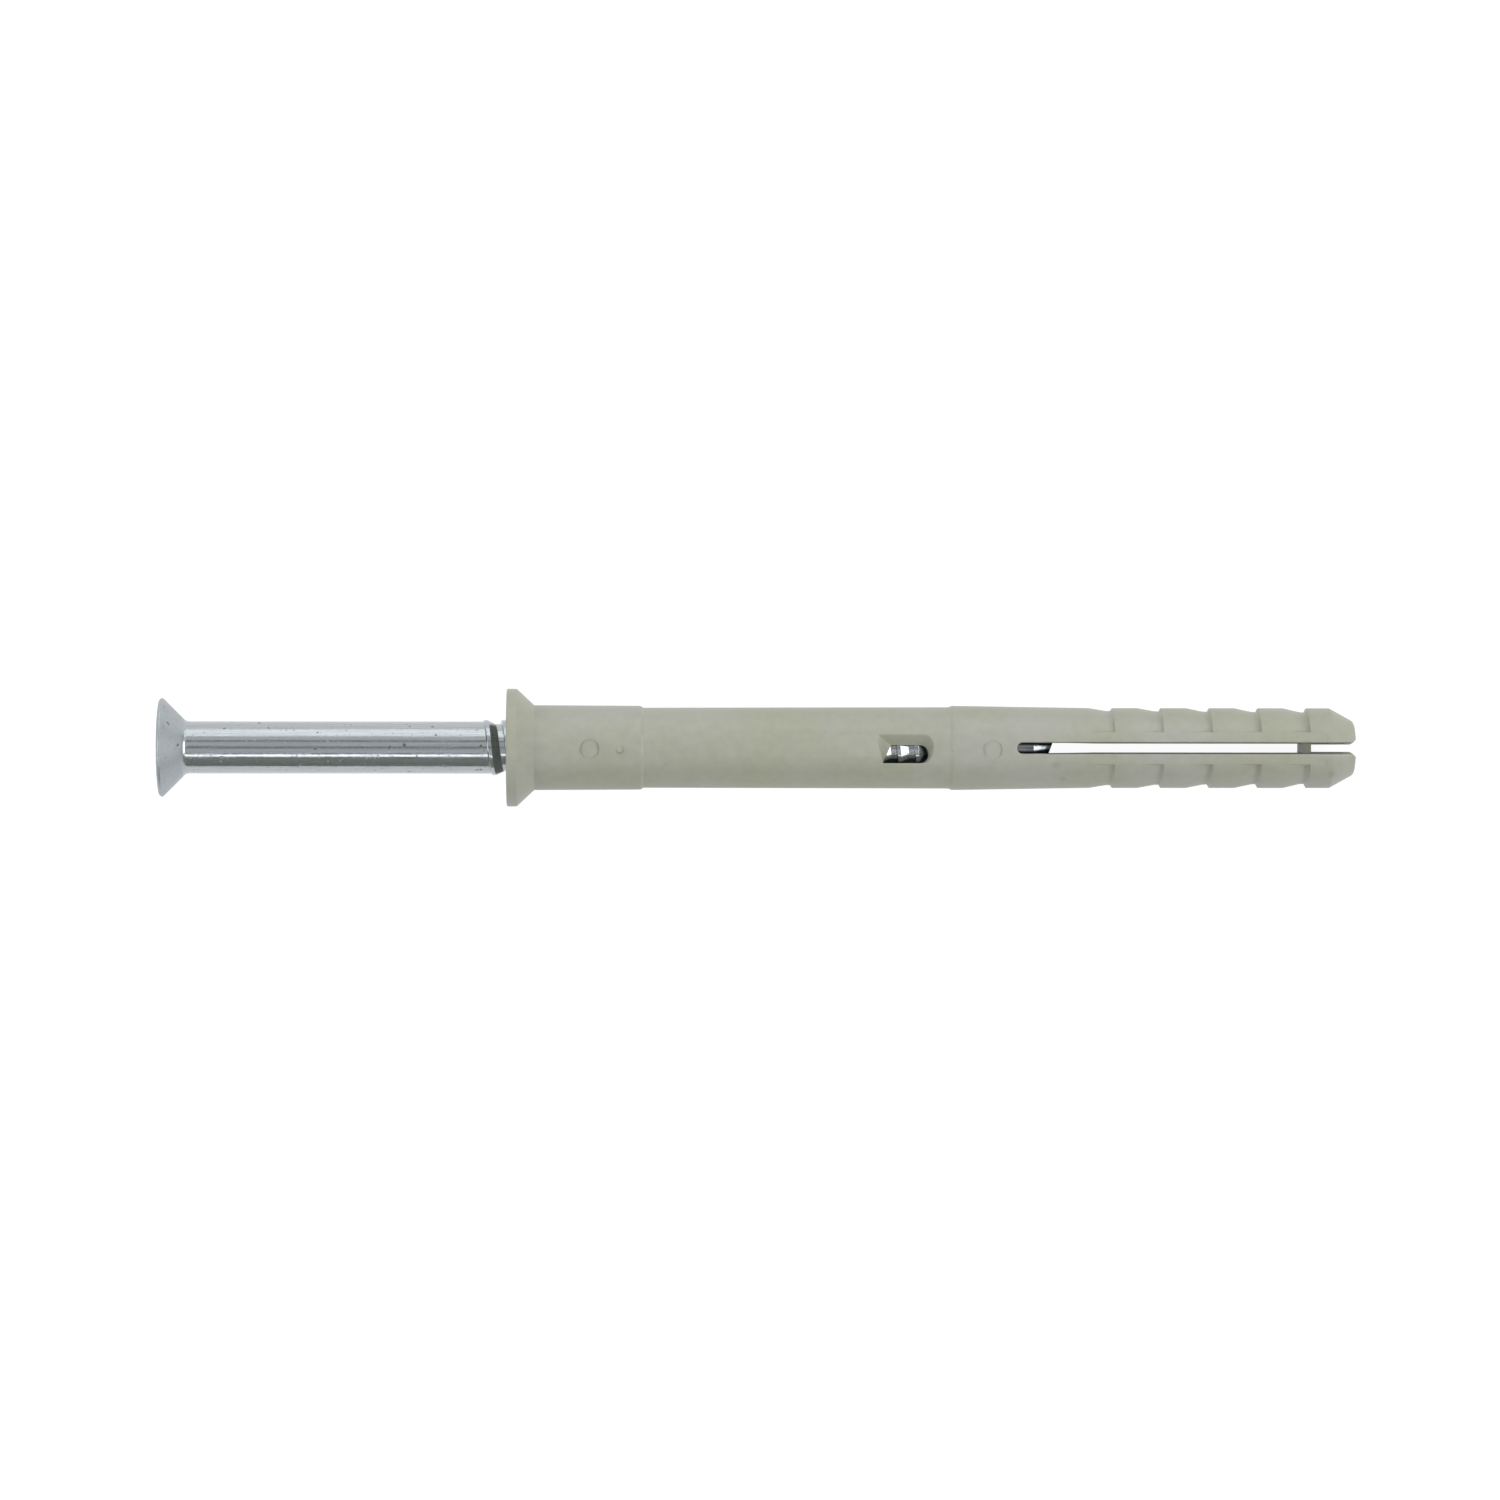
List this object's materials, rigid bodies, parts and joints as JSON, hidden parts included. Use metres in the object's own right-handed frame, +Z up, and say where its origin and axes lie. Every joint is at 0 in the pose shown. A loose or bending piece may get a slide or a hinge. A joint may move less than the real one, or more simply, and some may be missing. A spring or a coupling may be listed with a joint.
{
  "type": "hammer drive anchor",
  "caption": "Hammer drive anchor: a countersunk zinc-plated drive nail with a rolled thread, set in a grey nylon expansion sleeve with a countersunk collar and toothed legs.",
  "frame": {"origin": "under the centre of the anchor's box, on the surface it lies on", "axes": "+X along the anchor, from the nail's head to the tip of the sleeve, in plan; +Y across the sleeve's slot; +Z up, through the slot and the windows"},
  "size_m": [0.1128, 0.011, 0.0111],
  "materials": {
    "sleeve_nylon": "moulded, satin",
    "nail_steel": "bright zinc plated"
  },
  "bodies": {
    "root": {"expansion_sleeve": "sleeve_nylon", "drive_nail": "nail_steel"}
  },
  "joints": []
}
